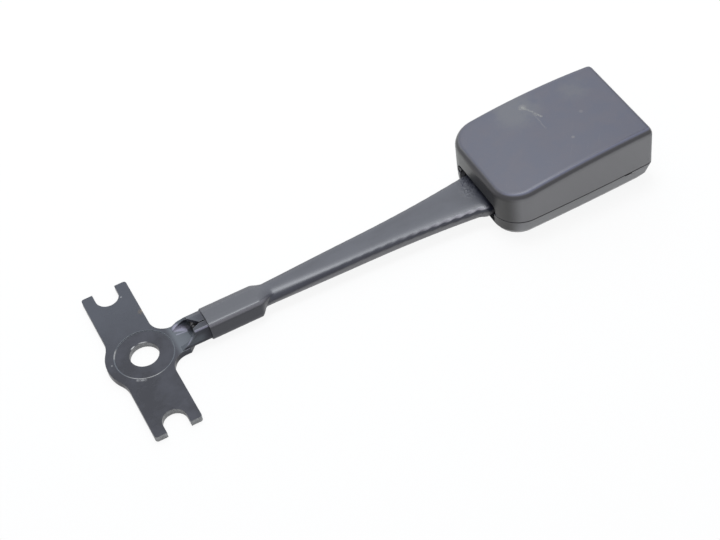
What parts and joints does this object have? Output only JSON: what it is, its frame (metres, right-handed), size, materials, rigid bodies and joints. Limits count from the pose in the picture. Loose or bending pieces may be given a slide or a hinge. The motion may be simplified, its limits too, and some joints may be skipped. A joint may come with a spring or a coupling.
{
  "type": "seat belt buckle",
  "caption": "Seat belt buckle: anchor plate with forked arms, crimped wire rope stalk in a sleeve, and a boxy head with a press button, latch and ejector.",
  "frame": {"origin": "centre of the anchor bolt hole, on the underside of the anchor plate", "axes": "+X along the stalk to the button end of the head, +Y sideways along the plate's arm, +Z along the bolt hole, out of the plate's upper face"},
  "size_m": [0.2419, 0.0818, 0.0268],
  "materials": {
    "plate_steel": "glossy black coating, worn at the edges",
    "rope_steel": "galvanised stranded wire",
    "sleeve_plastic": "satin shrink tube",
    "cover_plastic": "fine matte grain",
    "frame_steel": "zinc plated pressing",
    "latch_steel": "hardened, plated",
    "rivet_steel": "bright plated",
    "spring_steel": "drawn spring wire",
    "ejector_plastic": "natural moulding",
    "guide_plastic": "smooth moulding",
    "button_plastic": "semi-gloss moulding"
  },
  "bodies": {
    "anchor": {"anchor_plate": "plate_steel", "wire_rope": "rope_steel", "rope_sleeve": "sleeve_plastic"},
    "head": {"lower_cover": "cover_plastic", "upper_cover": "cover_plastic", "buckle_frame": "frame_steel", "rope_saddle": "frame_steel", "rope_keeper": "frame_steel", "rope_stud": "rivet_steel", "frame_bridge": "frame_steel", "bridge_rivets": "rivet_steel", "latch_axle": "rivet_steel", "axle_rings": "rivet_steel", "latch_spring": "spring_steel", "ejector_spring": "spring_steel", "tongue_guide": "guide_plastic", "button_spring_left": "spring_steel", "button_spring_right": "spring_steel"},
    "button": {"release_button": "button_plastic"},
    "latch": {"latch": "latch_steel"},
    "ejector": {"ejector": "ejector_plastic"}
  },
  "joints": [
    {"name": "stalk_bend", "type": "hinge", "parent": "anchor", "child": "head", "pos_m": [0.104, 0, 0.006], "axis": [0, 1, 0], "range_deg": [-20, 20], "stiffness_Nm_per_rad": 5, "deforming": ["wire_rope", "rope_sleeve"]},
    {"name": "button_press", "type": "slide", "parent": "head", "child": "button", "axis": [-1, 0, 0], "range_m": [0, 0.005], "stiffness_N_per_m": 300, "springref_m": -0.006, "deforming": ["button_spring_left", "button_spring_right"]},
    {"name": "latch_pivot", "type": "hinge", "parent": "head", "child": "latch", "pos_m": [0.186, 0, 0.0132], "axis": [0, -1, 0], "range_deg": [0, 15], "stiffness_Nm_per_rad": 0.02, "springref_deg": -17.19, "deforming": ["latch_spring"]},
    {"name": "ejector_slide", "type": "slide", "parent": "head", "child": "ejector", "axis": [-1, 0, 0], "range_m": [0, 0.01], "stiffness_N_per_m": 300, "springref_m": -0.005, "deforming": ["ejector_spring"]}
  ],
  "couplings": [
    {"joint": "latch_pivot", "follows": "button_press", "rad_per_m": 52.3}
  ]
}
